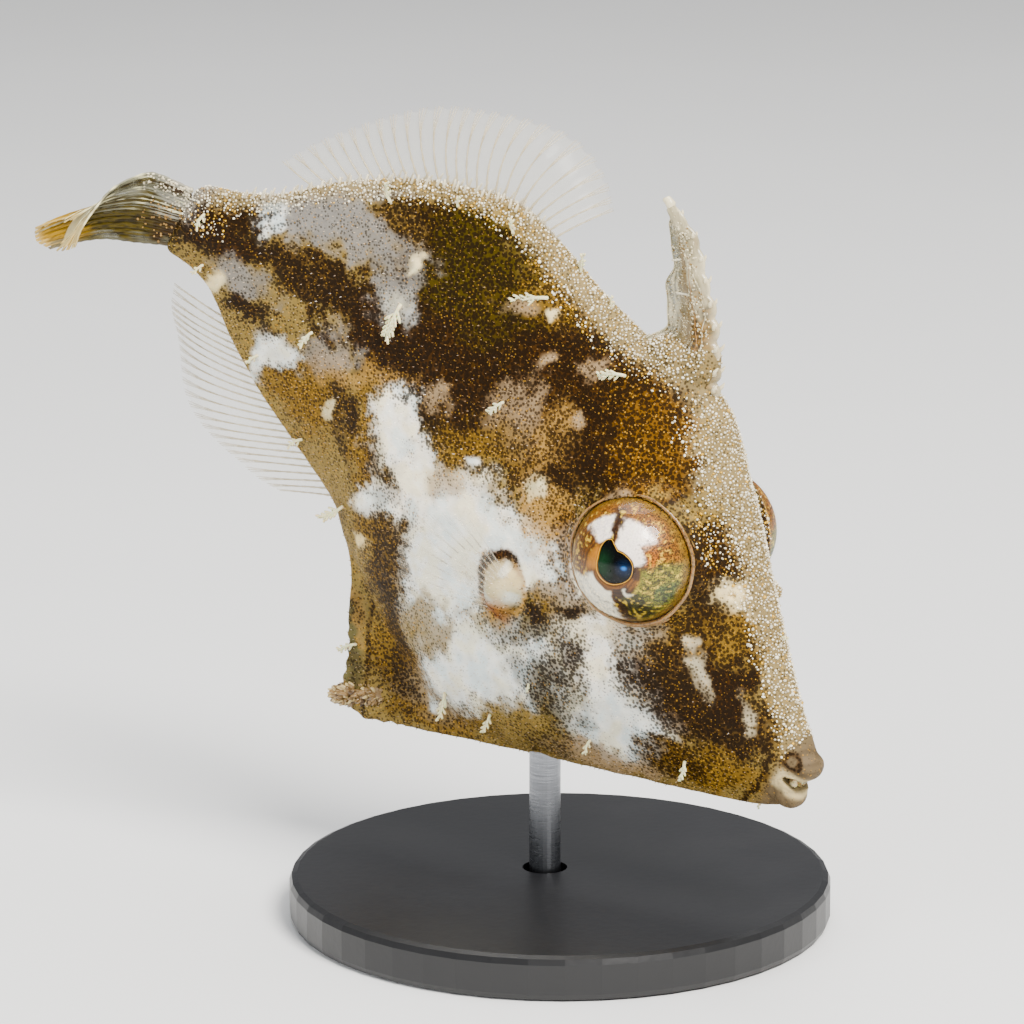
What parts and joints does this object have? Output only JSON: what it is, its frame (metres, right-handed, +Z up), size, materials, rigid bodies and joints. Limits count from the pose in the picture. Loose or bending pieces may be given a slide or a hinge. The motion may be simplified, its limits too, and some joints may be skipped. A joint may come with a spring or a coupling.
{
  "type": "juvenile mottled filefish model",
  "caption": "Life-size young filefish swimming head down, with raised dorsal spine, half-closed tail fin and skin tags, on a round stand.",
  "frame": {"origin": "centre of the stand base's flat underside", "axes": "+Z up, +X the way that the fish's head points seen from above, +Y the fish's left"},
  "size_m": [0.0382, 0.024, 0.0363],
  "materials": {
    "skin": "mottled brown, cream and white, granular, moist",
    "fin": "thin, clear, grey and cream rays",
    "spine": "translucent cream",
    "eye": "wet, gold and brown iris",
    "tooth": "cream",
    "base": "satin black",
    "rod": "satin"
  },
  "bodies": {
    "root": {"head": "skin", "torso": "skin", "tail_stalk": "skin", "belly_flap": "skin", "pelvic_spine": "spine", "dorsal_spine": "spine", "soft_dorsal_fin": "fin", "anal_fin": "fin", "tail_fin": "fin", "pectoral_fin_left": "fin", "pectoral_fin_right": "fin", "eye_left": "eye", "eye_right": "eye", "upper_teeth": "tooth", "lower_teeth": "tooth", "stand_base": "base", "stand_rod": "rod"}
  },
  "joints": []
}
